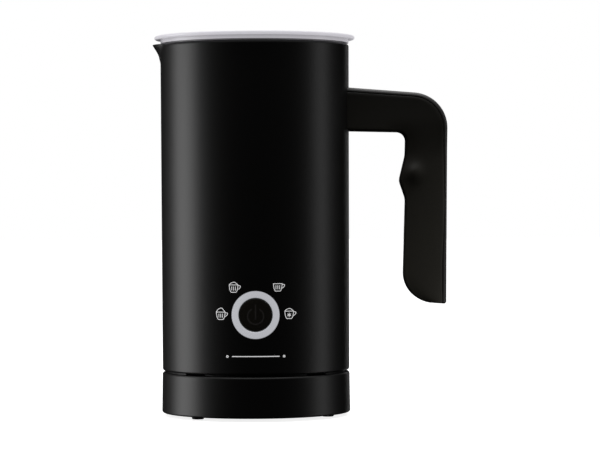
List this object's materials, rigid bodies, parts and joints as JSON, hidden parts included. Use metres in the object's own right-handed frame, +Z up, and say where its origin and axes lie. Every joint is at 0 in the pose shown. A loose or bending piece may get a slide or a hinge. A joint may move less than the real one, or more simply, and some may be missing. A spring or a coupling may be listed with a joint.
{
  "type": "milk frother",
  "caption": "Cylindrical electric milk frother: lift-off jug with spout, angled handle, plug lid and front button, on a round power base, with a magnetically driven whisk.",
  "frame": {"origin": "on the jug's axis at floor level, between the feet", "axes": "+Z up along the jug's axis, +X from the spout to the handle, -Y out of the button's front face"},
  "size_m": [0.1561, 0.1062, 0.201],
  "materials": {
    "shell_plastic": "satin",
    "base_plastic": "satin",
    "handle_plastic": "satin",
    "button_plastic": "satin",
    "inner_plastic": "matt",
    "whisk_plastic": "matt",
    "chassis_plastic": "matt",
    "cream_plastic": "satin",
    "lid_plastic": "frosted clear",
    "lid_silicone": "satin",
    "seal_silicone": "satin",
    "rubber": "matt",
    "ring_diffuser": "white diffuser",
    "white_print": "printed",
    "light_guide": "clear",
    "led_lens": "clear yellow",
    "pot_coating": "non-stick coating",
    "bright_steel": "bright",
    "screw_steel": "zinc plated",
    "motor_steel": "zinc plated",
    "element_steel": "dull",
    "heater_aluminium": "cast",
    "contact_brass": "bright",
    "winding_copper": "enamelled copper",
    "ferrite": "matt",
    "magnet_nickel": "nickel plated",
    "ceramic": "ceramic",
    "circuit_board": "solder mask",
    "transformer_tape": "tape",
    "relay_case": "satin",
    "capacitor_sleeve": "sleeve",
    "wire_sleeve": "insulation"
  },
  "bodies": {
    "base": {"base_housing": "base_plastic", "base_bottom_plate": "inner_plastic", "base_feet": "rubber", "base_screws": "screw_steel", "base_connector": "inner_plastic", "connector_screws": "screw_steel", "connector_contacts": "contact_brass", "cord_bush": "rubber"},
    "contact_socket": {"jug_socket": "inner_plastic", "socket_contacts": "contact_brass"},
    "jug": {"outer_shell": "shell_plastic", "inner_pot": "pot_coating", "pot_gasket": "seal_silicone", "whisk_spindle": "bright_steel", "heater_plate": "heater_aluminium", "heater_ring": "element_steel", "temperature_sensor": "element_steel", "thermal_fuse": "ceramic", "chassis": "chassis_plastic", "motor_can": "motor_steel", "motor_end_cap": "cream_plastic", "motor_magnets": "ferrite", "motor_bushes": "contact_brass", "motor_damper": "rubber", "motor_screws": "screw_steel", "power_board": "circuit_board", "transformer": "transformer_tape", "relay": "relay_case", "capacitors": "capacitor_sleeve", "control_board": "circuit_board", "leds": "led_lens", "light_guides": "light_guide", "switch_body": "inner_plastic", "board_screws": "screw_steel", "wire_harness": "wire_sleeve", "light_ring": "ring_diffuser", "program_symbols": "white_print", "jug_bottom_cover": "inner_plastic", "bottom_screws": "screw_steel", "handle_body": "handle_plastic", "handle_cover": "handle_plastic", "handle_bracket": "bright_steel", "handle_screws": "screw_steel"},
    "lid": {"lid_cover": "lid_plastic", "lid_seal": "lid_silicone"},
    "rotor": {"motor_shaft": "bright_steel", "motor_armature": "winding_copper", "magnet_carrier": "cream_plastic", "drive_magnets": "magnet_nickel"},
    "whisk_bush": {"whisk_bush": "cream_plastic"},
    "whisk": {"whisk_hub": "whisk_plastic", "whisk_coil": "bright_steel", "whisk_magnets": "magnet_nickel"},
    "button": {"button_cap": "button_plastic", "switch_plunger": "cream_plastic"}
  },
  "joints": [
    {"name": "jug_lift", "type": "slide", "parent": "base", "child": "contact_socket", "axis": [0, 0, 1], "range_m": [0, 0.04]},
    {"name": "jug_turn", "type": "hinge", "parent": "contact_socket", "child": "jug", "pos_m": [0, 0, 0.03], "axis": [0, 0, 1], "continuous": true},
    {"name": "lid_lift", "type": "slide", "parent": "jug", "child": "lid", "axis": [0, 0, 1], "range_m": [0, 0.05]},
    {"name": "rotor_spin", "type": "hinge", "parent": "jug", "child": "rotor", "pos_m": [0, 0, 0.06], "axis": [0, 0, 1], "continuous": true},
    {"name": "whisk_lift", "type": "slide", "parent": "jug", "child": "whisk_bush", "axis": [0, 0, 1], "range_m": [0, 0.06]},
    {"name": "whisk_spin", "type": "hinge", "parent": "whisk_bush", "child": "whisk", "pos_m": [0, 0, 0.094], "axis": [0, 0, 1], "continuous": true},
    {"name": "button_press", "type": "slide", "parent": "jug", "child": "button", "axis": [0, 1, 0], "range_m": [0, 0.0006], "stiffness_N_per_m": 600}
  ],
  "couplings": [
    {"joint": "whisk_spin", "follows": "rotor_spin", "ratio": 1}
  ]
}
